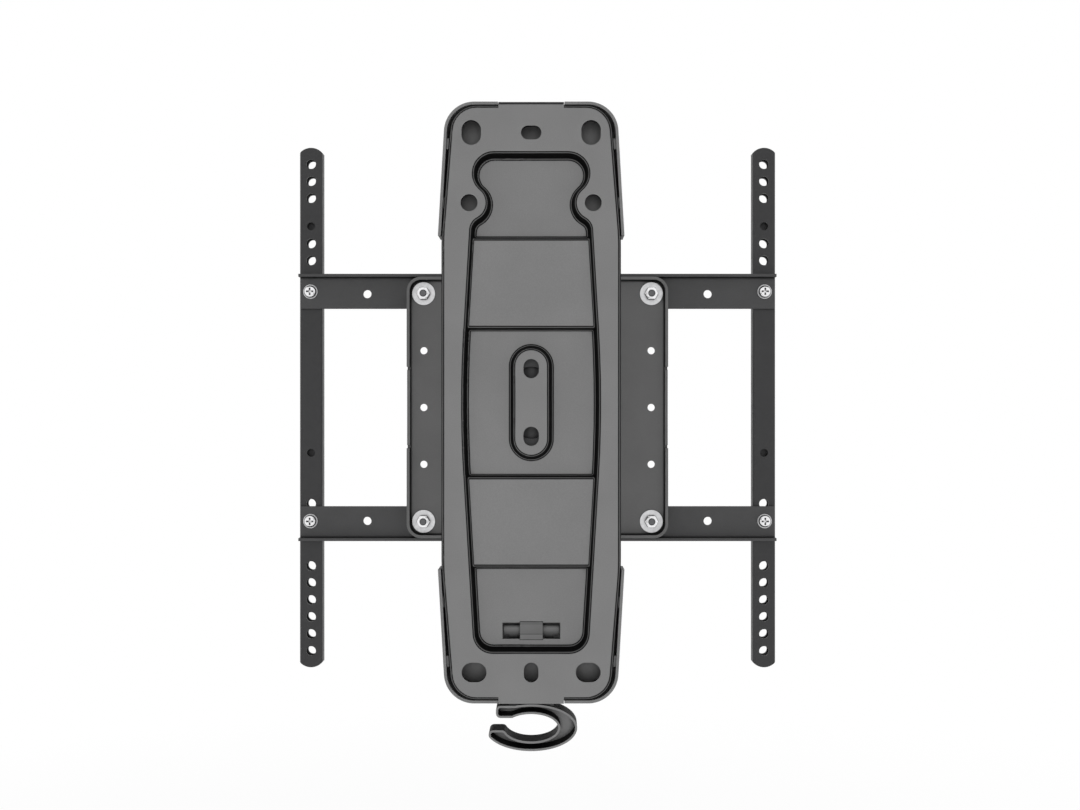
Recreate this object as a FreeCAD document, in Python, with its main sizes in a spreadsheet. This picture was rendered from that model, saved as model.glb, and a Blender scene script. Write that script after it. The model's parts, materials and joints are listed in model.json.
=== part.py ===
import FreeCAD, Part
import math
import os

import Sketcher

# A full-motion swivel wall mount for a television, in millimetres.
# The frame stands at the middle of the wall plate on the wall: +X to the right seen from behind the
# wall plate, +Y out into the room, +Z up. The arm is modelled stretched straight out into the room.

SIZES = {
    # Wall plate: a drawn sheet with folded sides
    "plate_height": 331.0,
    "plate_width": 100.0,
    "plate_sheet": 2.5,
    "plate_corner": 15.0,
    "plate_end_height": 72.5,
    "plate_end_inset": 4.6,
    "plate_side_sweep": 150.0,
    "plate_flange": 8.0,
    "plate_flange_margin": 12.5,
    "plate_bend": 2.0,
    "tab_width": 36.4,
    # Drawn panel of the wall plate
    "panel_depth": 8.0,
    "panel_shallow_depth": 4.0,
    "panel_draft": 9.0,
    "panel_round": 1.8,
    "panel_band_round": 1.4,
    "panel_side_margin": 13.6,
    "panel_middle_height": 82.4,
    "panel_taper": 3.37,
    "panel_end_margin": 27.1,
    "panel_end_height": 46.2,
    "panel_corner": 10.0,
    "panel_lobe_round": 11.0,
    "panel_neck_round": 7.0,
    "panel_hole_margin": 5.75,
    "panel_step_round": 2.0,
    "boss_width": 20.2,
    "boss_height": 60.7,
    "boss_slot_width": 8.6,
    "boss_slot_length": 10.7,
    "boss_slot_spacing": 37.6,
    # Holes of the wall plate
    "outer_slot_end": 15.5,
    "top_slot_side": 16.7,
    "bottom_slot_side": 18.3,
    "outer_slot_width": 10.8,
    "outer_slot_length": 13.8,
    "top_middle_slot_width": 7.7,
    "top_middle_slot_length": 11.3,
    "bottom_middle_slot_width": 8.1,
    "bottom_middle_slot_length": 11.0,
    "round_hole": 9.4,
    "round_hole_side": 15.5,
    "round_hole_end": 54.5,
    "window_width": 32.4,
    "window_height": 9.1,
    "window_notch_width": 13.3,
    "window_notch_height": 10.5,
    "window_end": 37.4,
    # Plastic end covers
    "cover_wall": 1.6,
    "cover_gap": 0.3,
    "cover_end_inset": 3.3,
    "cover_depth": 24.0,
    "cover_lift": 0.8,
    "cover_edge_round": 5.0,
    "latch_height": 6.0,
    "latch_end": 21.0,
    "latch_spacing": 33.0,
    "latch_reach": 2.0,
    "slip_gap": 0.3,
    # Cable hook
    "hook_width": 51.2,
    "hook_height": 26.0,
    "hook_gap": 0.4,
    "hook_depth": 15.0,
    "hook_eye_width": 30.0,
    "hook_eye_height": 15.2,
    "hook_mouth": 6.8,
    "hook_mouth_rise": 2.0,
    "hook_wall": 1.2,
    "hook_floor": 3.0,
    "hook_tip_round": 2.6,
    "hook_leg_width": 5.0,
    "hook_leg_spacing": 20.0,
    "hook_leg": 2.5,
    "hook_foot_height": 5.0,
    "hook_arm_reach": 19.6,
    "hook_arm_top": 12.2,
    # Arm and its pivots
    "pivot_reach": 28.0,
    "arm_length": 166.0,
    "arm_width": 20.0,
    "arm_tube_wall": 2.0,
    "arm_tube_round": 3.0,
    "elbow_setback": 16.0,
    "knuckle_radius": 12.0,
    "knuckle_bore": 8.0,
    "wall_knuckle_height": 40.5,
    "arm_knuckle_height": 36.0,
    "bush_flange": 1.75,
    "bush_flange_radius": 11.0,
    "bush_length": 14.0,
    "bush_gap": 0.05,
    "pivot_gap": 0.3,
    "ear_sheet": 4.0,
    "ear_bend": 3.0,
    "ear_radius": 14.0,
    "pivot_bolt_radius": 5.0,
    "bolt_play": 0.2,
    "pivot_bolt_flats": 16.0,
    "pivot_bolt_head": 6.4,
    "pivot_nut_height": 8.0,
    "pivot_washer": 2.0,
    "pivot_washer_radius": 10.0,
    "bolt_end": 2.0,
    "bolt_chamfer": 0.8,
    "bracket_width": 64.0,
    "bracket_height": 76.0,
    "bracket_corner": 8.0,
    "elbow_plate_length": 60.0,
    # Swivel yoke and tilt bracket
    "yoke_width": 50.0,
    "yoke_web_reach": 18.0,
    "tilt_reach": 36.0,
    "tilt_to_plate": 26.0,
    "tilt_ear_radius": 16.0,
    "tilt_gap": 1.0,
    "tilt_disc": 0.7,
    "tilt_base_height": 68.0,
    "tilt_bolt_radius": 4.0,
    "tilt_bolt_flats": 13.0,
    "tilt_bolt_head": 5.3,
    "tilt_nut_height": 8.0,
    "tilt_washer": 1.6,
    "tilt_washer_radius": 8.0,
    # Head plate
    "head_margin": 14.0,
    "head_sheet": 2.5,
    "head_corner": 12.5,
    "head_flange": 12.5,
    "head_relief": 4.0,
    "head_relief_height": 66.0,
    "head_notch": 2.6,
    "head_notch_depth": 8.0,
    "head_bend": 1.5,
    "vesa": 200.0,
    "vesa_small": 100.0,
    "vesa_hole": 6.4,
    # Bars and rails
    "bar_overhang": 9.0,
    "bar_face": 29.75,
    "bar_sheet": 2.5,
    "bar_flange": 12.0,
    "bar_bend": 1.5,
    "bar_hole": 7.3,
    "bar_hole_spacing": 300.0,
    "rail_spacing": 400.0,
    "rail_width": 20.0,
    "rail_depth": 12.0,
    "rail_length": 458.8,
    "rail_end_rise": 4.6,
    "rail_wall": 2.0,
    "rail_round": 1.8,
    "rail_hole": 8.5,
    "rail_pitch": 15.0,
    "rail_end_margin": 14.4,
    "rail_dark_hole": 7.0,
    "rail_dark_upper": 60.0,
    "rail_dark_lower": 40.0,
    # Fasteners of the head
    "plate_bolt_radius": 3.0,
    "plate_bolt_head_radius": 5.5,
    "plate_bolt_head": 3.3,
    "plate_bolt_head_round": 1.8,
    "plate_bolt_chamfer": 0.6,
    "plate_washer_radius": 10.0,
    "plate_washer": 1.6,
    "plate_nut_flats": 10.0,
    "plate_nut_height": 5.0,
    "plate_bolt_end": 0.9,
    "rail_screw_radius": 2.5,
    "rail_screw_head_radius": 5.25,
    "rail_screw_head": 3.4,
    "rail_screw_head_round": 2.0,
    "rail_screw_length": 12.0,
    "rail_screw_cross": 1.5,
    "rail_screw_cross_arm": 3.2,
    "rail_screw_cross_depth": 1.6,
    "rail_screw_washer_radius": 6.25,
    "rail_screw_washer": 1.0,
    "rail_screw_rise": 2.0,
    "thread_gap": 0.05,
}


class Size:
    """A length with its value and the expression that keeps it tied to the sheet."""

    def __init__(self, value, text):
        self.value = value
        self.text = text

    def __add__(self, other):
        other = as_size(other)
        return Size(self.value + other.value, f"({self.text} + {other.text})")

    def __sub__(self, other):
        other = as_size(other)
        return Size(self.value - other.value, f"({self.text} - {other.text})")

    def __mul__(self, factor):
        return Size(self.value * factor, f"({self.text} * {factor})")

    def __truediv__(self, divisor):
        return Size(self.value / divisor, f"({self.text} / {divisor})")

    def __neg__(self):
        return Size(-self.value, f"(0 - {self.text})")


class Sizes:
    """The sheet's sizes by name."""

    def __init__(self, sizes):
        for name, value in sizes.items():
            setattr(self, name, Size(value, f"Sizes.{name}"))


def as_size(number):
    return number if isinstance(number, Size) else Size(float(number), f"{float(number)}")


doc = FreeCAD.newDocument("swivel_mount")
sheet = doc.addObject("Spreadsheet::Sheet", "Sizes")
for row, (name, value) in enumerate(SIZES.items(), start=1):
    sheet.set(f"A{row}", name)
    sheet.set(f"B{row}", f"{value}")
    sheet.setAlias(f"B{row}", name)
doc.recompute()

size = Sizes(SIZES)
pieces = []

HEX_CORNER = 1.0 / math.sqrt(3.0)
HEX_LAND = 0.475
HEX_SLOPE = math.sqrt(3.0)
AXES = {
    "Y": FreeCAD.Rotation(FreeCAD.Vector(1, 0, 0), -90),
    "X": FreeCAD.Rotation(FreeCAD.Vector(0, 1, 0), 90),
    "Z": FreeCAD.Rotation(),
}
SIDES = (-1, 1)
CORNERS = ((-1, -1), (-1, 1), (1, -1), (1, 1))


def bind(thing, property_name, length):
    thing.setExpression(property_name, as_size(length).text)


def finish(thing, label):
    """Names a finished sub-part and keeps it for the export."""
    thing.Label = label
    pieces.append(thing)
    return thing


class Profile:
    """A sketch on one of a body's own origin planes, with every point tied to the sheet."""

    def __init__(self, body, role, at):
        self.role = role
        self.sketch = body.newObject("Sketcher::SketchObject", "profile")
        plane = next(item for item in body.Origin.OriginFeatures if item.Role == role)
        self.sketch.AttachmentSupport = [(plane, "")]
        self.sketch.MapMode = "FlatFace"
        at = as_size(at)
        bind(self.sketch, "AttachmentOffset.Base.z", -at if role == "XZ_Plane" else at)

    def tie(self, kind, place, length):
        length = as_size(length)
        number = self.sketch.addConstraint(Sketcher.Constraint(kind, *place, length.value))
        self.sketch.setExpression(f"Constraints[{number}]", length.text)

    def circle(self, x, y, radius):
        x, y, radius = as_size(x), as_size(y), as_size(radius)
        centre = FreeCAD.Vector(x.value, y.value, 0)
        edge = self.sketch.addGeometry(Part.Circle(centre, FreeCAD.Vector(0, 0, 1), radius.value), False)
        self.tie("DistanceX", (-1, 1, edge, 3), x)
        self.tie("DistanceY", (-1, 1, edge, 3), y)
        self.tie("Radius", (edge,), radius)
        return self

    def loop(self, corners):
        """Closes a loop through corners (x, y). A corner (x, y, (cx, cy, turn)) leads on with an arc about
        (cx, cy), against the clock where turn is 1 and with it where turn is -1."""
        spots = [(as_size(corner[0]), as_size(corner[1])) for corner in corners]
        ends = []
        for i, corner in enumerate(corners):
            here = FreeCAD.Vector(spots[i][0].value, spots[i][1].value, 0)
            after = spots[(i + 1) % len(spots)]
            there = FreeCAD.Vector(after[0].value, after[1].value, 0)
            if len(corner) == 2:
                edge = self.sketch.addGeometry(Part.LineSegment(here, there), False)
                ends.append((edge, 1, 2))
            else:
                ends.append(self.arc(here, there, *corner[2]))
        for i, (edge, start, end) in enumerate(ends):
            following = ends[(i + 1) % len(ends)]
            self.sketch.addConstraint(
                Sketcher.Constraint("Coincident", edge, end, following[0], following[1])
            )
            self.tie("DistanceX", (-1, 1, edge, start), spots[i][0])
            self.tie("DistanceY", (-1, 1, edge, start), spots[i][1])
        return self

    def arc(self, here, there, cx, cy, turn):
        cx, cy = as_size(cx), as_size(cy)
        centre = FreeCAD.Vector(cx.value, cy.value, 0)
        first, last = (here, there) if turn > 0 else (there, here)
        begin = math.atan2(first.y - centre.y, first.x - centre.x)
        finish_angle = math.atan2(last.y - centre.y, last.x - centre.x)
        circle = Part.Circle(centre, FreeCAD.Vector(0, 0, 1), (first - centre).Length)
        edge = self.sketch.addGeometry(Part.ArcOfCircle(circle, begin, finish_angle), False)
        if abs(there.x - here.x) > abs(there.y - here.y):
            self.tie("DistanceY", (-1, 1, edge, 3), cy)
        else:
            self.tie("DistanceX", (-1, 1, edge, 3), cx)
        return (edge, 1, 2) if turn > 0 else (edge, 2, 1)

    def box(self, left, right, low, high):
        return self.loop([(left, low), (right, low), (right, high), (left, high)])

    def rounded_box(self, half_width, half_height, radius):
        in_x, in_y = half_width - radius, half_height - radius
        return self.loop(
            [
                (-in_x, -half_height),
                (in_x, -half_height, (in_x, -in_y, 1)),
                (half_width, -in_y),
                (half_width, in_y, (in_x, in_y, 1)),
                (in_x, half_height),
                (-in_x, half_height, (-in_x, in_y, 1)),
                (-half_width, in_y),
                (-half_width, -in_y, (-in_x, -in_y, 1)),
            ]
        )

    def upright_slot(self, x, low, high, radius):
        """A slot between arc centres at low and high."""
        x = as_size(x)
        return self.loop(
            [
                (x - radius, low, (x, low, 1)),
                (x + radius, low),
                (x + radius, high, (x, high, 1)),
                (x - radius, high),
            ]
        )

    def cross(self, x, y, arm, width):
        x, y = as_size(x), as_size(y)
        half = width / 2
        spots = [
            (arm, -half), (arm, half), (half, half), (half, arm), (-half, arm), (-half, half),
            (-arm, half), (-arm, -half), (-half, -half), (-half, -arm), (half, -arm), (half, -half),
        ]
        return self.loop([(x + dx, y + dy) for dx, dy in spots])


class Piece:
    """A sub-part made as a body of pads and pockets that run along +X, +Y or +Z."""

    def __init__(self, label):
        self.body = doc.addObject("PartDesign::Body", label)
        self.body.AllowCompound = True
        finish(self.body, label)

    def profile(self, role, at):
        return Profile(self.body, role, at)

    def add(self, profile, depth):
        pad = self.body.newObject("PartDesign::Pad", "pad")
        pad.Profile = profile.sketch
        pad.Reversed = profile.role == "XZ_Plane"
        bind(pad, "Length", depth)
        profile.sketch.Visibility = False
        return self

    def cut(self, profile, depth):
        pocket = self.body.newObject("PartDesign::Pocket", "pocket")
        pocket.Profile = profile.sketch
        pocket.Reversed = profile.role != "XZ_Plane"
        bind(pocket, "Length", depth)
        return self

    def soften(self, kind, measure, length, chosen):
        """Dresses the edges for which chosen(edge) is true."""
        doc.recompute()
        base = self.body.Tip
        names = [f"Edge{i}" for i, edge in enumerate(base.Shape.Edges, start=1) if chosen(edge)]
        feature = self.body.newObject(kind, "edges")
        feature.Base = (base, names)
        bind(feature, measure, length)
        return self

    def round(self, radius, chosen):
        return self.soften("PartDesign::Fillet", "Radius", radius, chosen)

    def bevel(self, length, chosen):
        return self.soften("PartDesign::Chamfer", "Size", length, chosen)


def turned(kind, measures, height, base, axis):
    """A primitive that stands on its base along an axis."""
    thing = doc.addObject(kind, "turned")
    thing.Placement = FreeCAD.Placement(FreeCAD.Vector(), AXES[axis])
    bind(thing, "Height", height)
    for name, length in measures.items():
        bind(thing, name, length)
    for key, place in zip("xyz", base):
        bind(thing, f"Placement.Base.{key}", place)
    return thing


def cylinder(radius, height, base, axis="Z"):
    return turned("Part::Cylinder", {"Radius": radius}, height, base, axis)


def bevelled(thing, first, last, height, base, axis):
    """What a cone with the end radii first and last leaves of a thing."""
    cone = turned("Part::Cone", {"Radius1": first, "Radius2": last}, height, base, axis)
    common = doc.addObject("Part::MultiCommon", "bevelled")
    common.Shapes = [thing, cone]
    return common


def bolt_shank(radius, height, base, axis="Z"):
    """A plain shank with a chamfer round its base end."""
    rod = cylinder(radius, height, base, axis)
    narrow = radius - size.bolt_chamfer
    return bevelled(rod, narrow, narrow + height, height, base, axis)


def hexagon(flats, height, base, axis, outward):
    """A hexagon bevelled at one end: the far one where outward is 1, or the near one."""
    prism = turned("Part::Prism", {"Circumradius": flats * HEX_CORNER}, height, base, axis)
    prism.Polygon = 6
    narrow = flats * HEX_LAND
    wide = narrow + height * HEX_SLOPE
    first, last = (wide, narrow) if outward > 0 else (narrow, wide)
    return bevelled(prism, first, last, height, base, axis)


def fused(*shapes):
    thing = doc.addObject("Part::MultiFuse", "joined")
    thing.Shapes = list(shapes)
    return thing


def cut_from(base, tool):
    thing = doc.addObject("Part::Cut", "cut")
    thing.Base = base
    thing.Tool = tool
    return thing


def grouped(*shapes):
    thing = doc.addObject("Part::Compound", "group")
    thing.Links = list(shapes)
    return thing


def shaped(label, shape):
    """A sub-part whose shape is made directly."""
    thing = doc.addObject("Part::Feature", label)
    thing.Shape = shape
    thing.Placement = FreeCAD.Placement()
    return finish(thing, label)


# Places that several pieces share
plate_half = size.plate_width / 2
plate_end = size.plate_height / 2
plate_tip = plate_end + size.cover_gap + size.cover_wall
plate_side = plate_end - size.plate_end_height
panel_half = plate_half - size.panel_side_margin
panel_end = plate_end - size.panel_end_margin
band_start = size.panel_middle_height / 2
band_stop = panel_end - size.panel_end_height
outer_slot_z = plate_end - size.outer_slot_end
round_hole_x = plate_half - size.round_hole_side
round_hole_z = plate_end - size.round_hole_end
window_z = -plate_end + size.window_end
latch_levels = (plate_end - size.latch_end - size.latch_spacing, plate_end - size.latch_end)
hook_z = -plate_tip - size.hook_gap - size.hook_height / 2
wall_ear = size.wall_knuckle_height / 2 + size.bush_flange + size.pivot_gap
arm_ear = size.arm_knuckle_height / 2 + size.bush_flange + size.pivot_gap
bracket_back = size.panel_depth + size.plate_sheet
wall_pivot = size.pivot_reach
elbow_pivot = wall_pivot + size.arm_length
head_pivot = elbow_pivot + size.arm_length
yoke_web = head_pivot + size.yoke_web_reach
tilt_axis = head_pivot + size.tilt_reach
head_face = tilt_axis + size.tilt_to_plate
head_front = head_face + size.head_sheet
bar_front = head_front + size.bar_sheet
rail_front = bar_front + size.rail_depth
head_back = head_front - size.head_flange
head_half = size.vesa / 2 + size.head_margin
bar_top = head_half + size.slip_gap + size.bar_sheet
vesa_half = size.vesa / 2
rail_x = size.rail_spacing / 2
bolt_hole = size.pivot_bolt_radius + size.bolt_play
plate_bolt_hole = size.plate_bolt_radius + size.bolt_play
rail_screw_hole = size.rail_screw_radius + size.bolt_play
rail_screw_upper = vesa_half + size.rail_screw_rise
rail_screw_lower = vesa_half
bar_half = rail_x + size.bar_overhang


# Wall plate: outlines in the XZ plane, made of lines and arcs


def at_xz(x, y, z):
    return FreeCAD.Vector(x, y, z)


def mirrored_wire(edges):
    """A closed wire from the edges of its right half."""
    mirror = FreeCAD.Matrix()
    mirror.A11 = -1
    return Part.Wire(Part.__sortEdges__(edges + [edge.transformGeometry(mirror) for edge in edges]))


def arc_edge(cx, cz, radius, begin, end, y):
    """An arc about (cx, cz) between two angles in degrees."""
    spots = []
    for angle in (begin, (begin + end) / 2, end):
        turn = math.radians(angle)
        spots.append(at_xz(cx + radius * math.cos(turn), y, cz + radius * math.sin(turn)))
    return Part.Arc(*spots).toShape()


def line_edge(first, last):
    return Part.LineSegment(first, last).toShape()


def end_of(edge, last=True):
    return edge.valueAt(edge.LastParameter if last else edge.FirstParameter)


def chain(edges, start, stop):
    """Joins arcs with lines where their ends are apart, from a start point to a stop point."""
    joined = []
    here = start
    for edge in edges:
        first, last = end_of(edge, False), end_of(edge)
        if (first - here).Length > 1e-6:
            joined.append(line_edge(here, first))
        joined.append(edge)
        here = last
    joined.append(line_edge(here, stop))
    return joined


def plate_wire(inset, y):
    """The wall plate's outline, drawn in by inset: straight sides that sweep in towards the ends."""
    half = plate_half.value - inset
    top = plate_end.value - inset
    radius = size.plate_corner.value - inset
    side = plate_side.value
    corner_z = top - radius
    lean = math.degrees(math.atan(size.plate_end_inset.value / (corner_z - side)))
    turn = math.radians(lean)
    corner_x = half - (radius + math.sin(turn) * (corner_z - side)) / math.cos(turn)
    sweep = size.plate_side_sweep.value
    sweep_z = side - sweep * math.tan(turn / 2)
    upper = [
        arc_edge(half - sweep, sweep_z, sweep, 0, lean, y),
        arc_edge(corner_x, corner_z, radius, lean, 90, y),
    ]
    lower = [
        arc_edge(corner_x, -corner_z, radius, -90, -lean, y),
        arc_edge(half - sweep, -sweep_z, sweep, -lean, 0, y),
    ]
    return mirrored_wire(chain(lower + upper, at_xz(0, y, -top), at_xz(0, y, top)))


def panel_wire(inset, y):
    """The drawn panel's outline, drawn in by inset. It bows out at the middle, tapers to both ends and
    curls round the two round holes under its top lobe."""
    taper = size.panel_taper.value
    turn = math.radians(taper)
    join_z = band_start.value
    bow = join_z / math.sin(turn)
    bow_x = panel_half.value - bow * math.cos(turn)
    side = FreeCAD.Vector(panel_half.value, y, join_z)
    along = FreeCAD.Vector(-math.sin(turn), 0, math.cos(turn))
    inwards = FreeCAD.Vector(-math.cos(turn), 0, -math.sin(turn))
    hole = at_xz(round_hole_x.value, y, round_hole_z.value)
    curl = size.round_hole.value / 2 + size.panel_hole_margin.value
    neck = size.panel_neck_round.value
    lobe = size.panel_lobe_round.value
    base = side + inwards * neck - hole
    reach = curl + neck
    middle = base.dot(along)
    run = -middle - math.sqrt(middle * middle - base.dot(base) + reach * reach)
    neck_spot = hole + base + along * run
    lobe_z = panel_end.value - lobe
    lobe_x = hole.x - math.sqrt((curl + lobe) ** 2 - (lobe_z - hole.z) ** 2)
    lobe_spot = at_xz(lobe_x, y, lobe_z)
    neck_angle = math.degrees(math.atan2(hole.z - neck_spot.z, hole.x - neck_spot.x))
    lobe_angle = math.degrees(math.atan2(hole.z - lobe_z, hole.x - lobe_x))
    foot = size.panel_corner.value
    foot_z = foot - panel_end.value
    foot_x = panel_half.value - (foot + math.sin(turn) * (-foot_z - join_z)) / math.cos(turn)
    edges = [
        arc_edge(foot_x, foot_z, foot - inset, -90, -taper, y),
        arc_edge(bow_x, 0, bow - inset, -taper, taper, y),
        arc_edge(neck_spot.x, neck_spot.z, neck - inset, taper, neck_angle, y),
        arc_edge(hole.x, hole.z, curl + inset, neck_angle + 180, lobe_angle + 180, y),
        arc_edge(lobe_x, lobe_spot.z, lobe - inset, lobe_angle, 90, y),
    ]
    low = at_xz(0, y, inset - panel_end.value)
    high = at_xz(0, y, panel_end.value - inset)
    return mirrored_wire(chain(edges, low, high))


def boss_wire(grow, y):
    """The stadium outline of the boss that comes back to the wall."""
    radius = size.boss_width.value / 2 + grow
    centre = (size.boss_height.value - size.boss_width.value) / 2
    edges = [
        arc_edge(0, -centre, radius, -90, 0, y),
        arc_edge(0, centre, radius, 0, 90, y),
    ]
    joined = [edges[0], line_edge(end_of(edges[0]), end_of(edges[1], False)), edges[1]]
    return mirrored_wire(joined)


def block(x0, x1, y0, y1, z0, z1):
    return Part.makeBox(x1 - x0, y1 - y0, z1 - z0, FreeCAD.Vector(x0, y0, z0))


def slot_tool(x, z, width, length, upright, depth):
    """A cutter for a slot through the sheet."""
    radius = width / 2
    half = (length - width) / 2
    start = -depth
    ends = [(x, z - half), (x, z + half)] if upright else [(x - half, z), (x + half, z)]
    tool = block(
        ends[0][0] - (radius if upright else 0),
        ends[1][0] + (radius if upright else 0),
        start,
        depth,
        ends[0][1] - (0 if upright else radius),
        ends[1][1] + (0 if upright else radius),
    )
    for end_x, end_z in ends:
        base = FreeCAD.Vector(end_x, start, end_z)
        tool = tool.fuse(Part.makeCylinder(radius, depth - start, base, FreeCAD.Vector(0, 1, 0)))
    return tool


def extruded(wire, depth):
    return Part.Face(wire).extrude(FreeCAD.Vector(0, depth, 0))


def step_slab(depth, low, high, reach, radius):
    """A slab across the panel with two rounded edges that face the wall."""
    half = size.plate_width.value
    slab = block(-half, half, depth, reach, low, high)
    if radius > 0:
        edges = [
            edge
            for edge in slab.Edges
            if abs(edge.BoundBox.YMax - depth) < 1e-6 and edge.BoundBox.XLength > half
        ]
        slab = slab.makeFillet(radius, edges)
    return slab


def panel_bands():
    """The two shallow bands of the panel as (low, high)."""
    start, stop = band_start.value, band_stop.value
    return ((start, stop), (-stop, -start))


def panel_hollow():
    """What the press takes out on the wall side."""
    depth = size.panel_depth.value
    slope = math.tan(math.radians(size.panel_draft.value))
    hollow = Part.makeLoft([panel_wire(0, 0), panel_wire(depth * slope, depth)], True, True)
    for low, high in panel_bands():
        slab = step_slab(size.panel_shallow_depth.value, low, high, depth + 1, size.panel_step_round.value)
        hollow = hollow.cut(slab)
    boss = Part.makeLoft([boss_wire(0, 0), boss_wire(depth * slope, depth)], True, True)
    return hollow.cut(boss)


def panel_bulge():
    """What the press pushes out on the room side."""
    sheet_depth = size.plate_sheet.value
    depth = size.panel_depth.value + sheet_depth
    draft = math.radians(size.panel_draft.value)
    skin = sheet_depth / math.cos(draft)
    slope = math.tan(draft)
    bulge = Part.makeLoft([panel_wire(-skin, 0), panel_wire(depth * slope - skin, depth)], True, True)
    for low, high in panel_bands():
        level = size.panel_shallow_depth.value + sheet_depth
        bulge = bulge.cut(step_slab(level, low + sheet_depth, high - sheet_depth, depth + 1, 0))
    boss_rim = boss_wire(sheet_depth * slope - skin, sheet_depth)
    boss = Part.makeLoft([boss_rim, boss_wire(depth * slope - skin, depth)], True, True)
    return bulge.cut(boss)


def plate_tray():
    """The flat sheet with folded sides, before the panel is drawn."""
    sheet_depth = size.plate_sheet.value
    flange = size.plate_flange.value
    tray = extruded(plate_wire(0, 0), flange)
    rim = [edge for edge in tray.Edges if edge.BoundBox.YMax < 1e-6]
    tray = tray.makeFillet(size.plate_bend.value, rim)
    tray = tray.cut(extruded(plate_wire(sheet_depth, sheet_depth), flange))
    half = size.plate_width.value
    top = plate_end.value
    end = top - size.plate_flange_margin.value
    for low, high in ((end, top + 1), (-top - 1, -end)):
        tray = tray.cut(block(-half, half, sheet_depth, flange + 1, low, high))
    tab = size.tab_width.value / 2
    tip = plate_tip.value
    bend = size.plate_bend.value
    tray = tray.fuse(block(-tab, tab, 0, sheet_depth, -tip, bend + sheet_depth - top))
    upper_tab = block(-tab, tab, 0, flange, top - bend - sheet_depth, tip)
    front = [
        edge
        for edge in upper_tab.Edges
        if edge.BoundBox.YMax < 1e-6 and abs(edge.BoundBox.ZMin - tip) < 1e-6
    ]
    upper_tab = upper_tab.makeFillet(bend, front)
    behind = block(-tab, tab, sheet_depth, flange, top - bend - sheet_depth, tip - sheet_depth)
    return tray.fuse(upper_tab.cut(behind))


def plate_cutters():
    """Cutters for the screw holes, the boss slots, the hook's window and the cover latches."""
    through = size.plate_flange.value + size.panel_depth.value
    level = outer_slot_z.value
    wide, long = size.top_middle_slot_width.value, size.top_middle_slot_length.value
    tools = [slot_tool(0, level, wide, long, False, through)]
    wide, long = size.bottom_middle_slot_width.value, size.bottom_middle_slot_length.value
    tools.append(slot_tool(0, -level, wide, long, True, through))
    wide, long = size.outer_slot_width.value, size.outer_slot_length.value
    top_x = plate_half.value - size.top_slot_side.value
    bottom_x = plate_half.value - size.bottom_slot_side.value
    for side in SIDES:
        tools.append(slot_tool(side * top_x, level, wide, long, True, through))
        tools.append(slot_tool(side * bottom_x, -level, wide, long, False, through))
        spot = FreeCAD.Vector(side * round_hole_x.value, -through, round_hole_z.value)
        tools.append(
            Part.makeCylinder(size.round_hole.value / 2, 2 * through, spot, FreeCAD.Vector(0, 1, 0))
        )
        boss_z = side * size.boss_slot_spacing.value / 2
        tools.append(
            slot_tool(0, boss_z, size.boss_slot_width.value, size.boss_slot_length.value, True, through)
        )
    drop = window_z.value
    for wide, high in (
        (size.window_width.value, size.window_height.value),
        (size.window_notch_width.value, size.window_notch_height.value),
    ):
        tools.append(block(-wide / 2, wide / 2, 0, through, drop - high / 2, drop + high / 2))
    half = plate_half.value
    slack = size.latch_height.value / 2 + size.slip_gap.value
    flange_back = size.plate_sheet.value + size.plate_bend.value / 2
    inner = half - size.plate_end_inset.value - size.plate_sheet.value - 1
    for level in latch_levels:
        for side in SIDES:
            for end in SIDES:
                middle = side * level.value
                low, high = sorted((end * inner, end * (half + 1)))
                tools.append(block(low, high, flange_back, through, middle - slack, middle + slack))
    return tools


def level_edges(shape, y, wide, tall):
    """The edges of a shape that lie in the plane at y, within wide and tall of the middle."""
    found = []
    for edge in shape.Edges:
        box = edge.BoundBox
        inside = max(-box.XMin, box.XMax) < wide and max(-box.ZMin, box.ZMax) < tall
        if inside and abs(box.YMin - y) < 1e-4 and abs(box.YMax - y) < 1e-4:
            found.append(edge)
    return found


def crosses_panel(edge):
    """True for the edge of a step that runs level across the panel."""
    box = edge.BoundBox
    steps = band_stop.value + 1
    return box.ZLength < 1e-4 and box.XLength > size.boss_width.value and box.ZMax < steps > -box.ZMin


def wall_plate():
    """The drawn plate: every bend of the panel is rounded on both sides of the sheet."""
    plate = plate_tray().fuse(panel_bulge()).cut(panel_hollow()).removeSplitter()
    radius = size.panel_round.value
    sheet_depth = size.plate_sheet.value
    wide = plate_half.value - size.plate_bend.value - 1
    tall = panel_end.value + 2 * sheet_depth
    inside = panel_half.value
    deep = size.panel_depth.value
    plate = plate.makeFillet(radius, level_edges(plate, 0, wide, panel_end.value + 0.1))
    floor = [edge for edge in level_edges(plate, deep, inside + 1, tall) if not crosses_panel(edge)]
    plate = plate.makeFillet(radius, floor)
    for side in SIDES:
        band = [
            edge
            for edge in level_edges(plate, size.panel_shallow_depth.value, inside, tall)
            if edge.CenterOfMass.z * side > 0 and not crosses_panel(edge)
        ]
        plate = plate.makeFillet(size.panel_band_round.value, band[:1])
    boss_half = size.boss_width.value / 2
    crown = [
        edge
        for edge in level_edges(plate, deep + sheet_depth, wide, tall)
        if not crosses_panel(edge) and max(-edge.BoundBox.XMin, edge.BoundBox.XMax) > boss_half
    ]
    plate = plate.makeFillet(size.plate_bend.value, crown)
    root = [
        edge
        for edge in level_edges(plate, sheet_depth, wide, tall)
        if max(-edge.BoundBox.XMin, edge.BoundBox.XMax) > size.boss_width.value / 2
    ]
    plate = plate.makeFillet(radius, root)
    for tool in plate_cutters():
        plate = plate.cut(tool)
    return plate


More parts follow.
